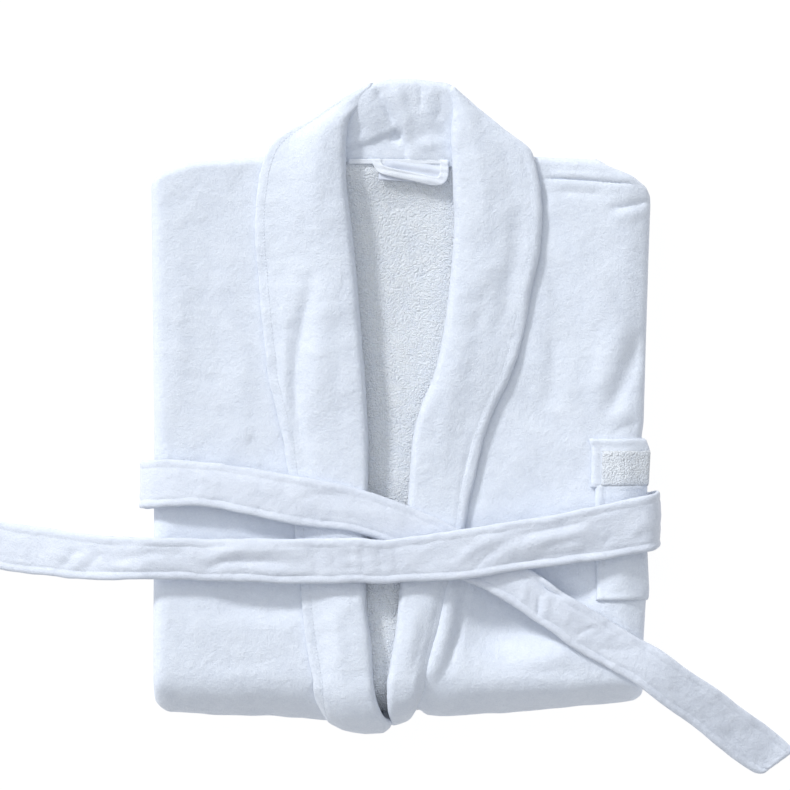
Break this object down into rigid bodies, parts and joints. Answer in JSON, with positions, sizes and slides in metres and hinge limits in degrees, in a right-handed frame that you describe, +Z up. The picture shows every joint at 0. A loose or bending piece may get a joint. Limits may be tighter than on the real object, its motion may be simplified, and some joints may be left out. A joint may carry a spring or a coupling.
{
  "type": "bathrobe",
  "caption": "White shawl-collar bathrobe folded flat into a rectangular bundle, with a patch pocket, a hanger loop and its belt wrapped round it and crossed in front.",
  "frame": {"origin": "on the floor under the middle of the folded body", "axes": "+X across the bundle towards the pocket side, +Y from the bottom fold to the collar, +Z up"},
  "size_m": [0.8475, 0.7096, 0.0646],
  "materials": {
    "velour": "cut-pile velour",
    "collar_velour": "cut-pile velour",
    "terry": "looped terry",
    "belt_cloth": "cut-pile velour, topstitched",
    "tape": "woven cotton tape",
    "label_satin": "blank woven satin"
  },
  "bodies": {
    "robe": {"back_panel": "terry", "front_panel_left": "velour", "front_panel_right": "velour", "hem_back": "velour", "hem_left": "velour", "hem_right": "velour", "sleeve_left": "velour", "sleeve_right": "velour", "cuff_left": "velour", "cuff_right": "velour", "upper_collar_left": "collar_velour", "upper_collar_right": "collar_velour", "under_collar_left": "collar_velour", "under_collar_right": "collar_velour", "collar_back_stand": "terry", "collar_back_fall": "collar_velour", "neck_tape": "tape", "size_label": "label_satin", "pocket": "velour", "pocket_band": "velour", "belt_loop_left": "belt_cloth", "belt_loop_right": "belt_cloth", "belt_half_left_tail": "belt_cloth", "belt_half_right_tail": "belt_cloth"},
    "lapel_leaf_left": {"upper_leaf_left": "collar_velour", "under_leaf_left": "collar_velour"},
    "lapel_leaf_right": {"upper_leaf_right": "collar_velour", "under_leaf_right": "collar_velour"},
    "left_tail": {"belt_tail_left": "belt_cloth"},
    "right_tail": {"belt_tail_right": "belt_cloth"},
    "loop": {"hanger_loop": "tape"}
  },
  "joints": [
    {"name": "lapel_left_lift", "type": "hinge", "parent": "robe", "child": "lapel_leaf_left", "pos_m": [-0.101, 0.155, 0.054], "axis": [0.0954, 0.9954, 0], "range_deg": [0, 70]},
    {"name": "lapel_right_lift", "type": "hinge", "parent": "robe", "child": "lapel_leaf_right", "pos_m": [0.084, 0.1285, 0.054], "axis": [-0.0749, -0.9972, 0], "range_deg": [0, 70]},
    {"name": "belt_tail_left_lift", "type": "hinge", "parent": "robe", "child": "left_tail", "pos_m": [-0.2502, -0.118, 0.0646], "axis": [0, 1, 0], "range_deg": [0, 110]},
    {"name": "belt_tail_right_lift", "type": "hinge", "parent": "robe", "child": "right_tail", "pos_m": [0.162, -0.169, 0.0593], "axis": [-0.5793, -0.8151, 0], "range_deg": [0, 110]},
    {"name": "hanger_loop_lift", "type": "hinge", "parent": "robe", "child": "loop", "pos_m": [0.013, 0.28, 0.0451], "axis": [-1, 0, 0], "range_deg": [0, 95]}
  ]
}
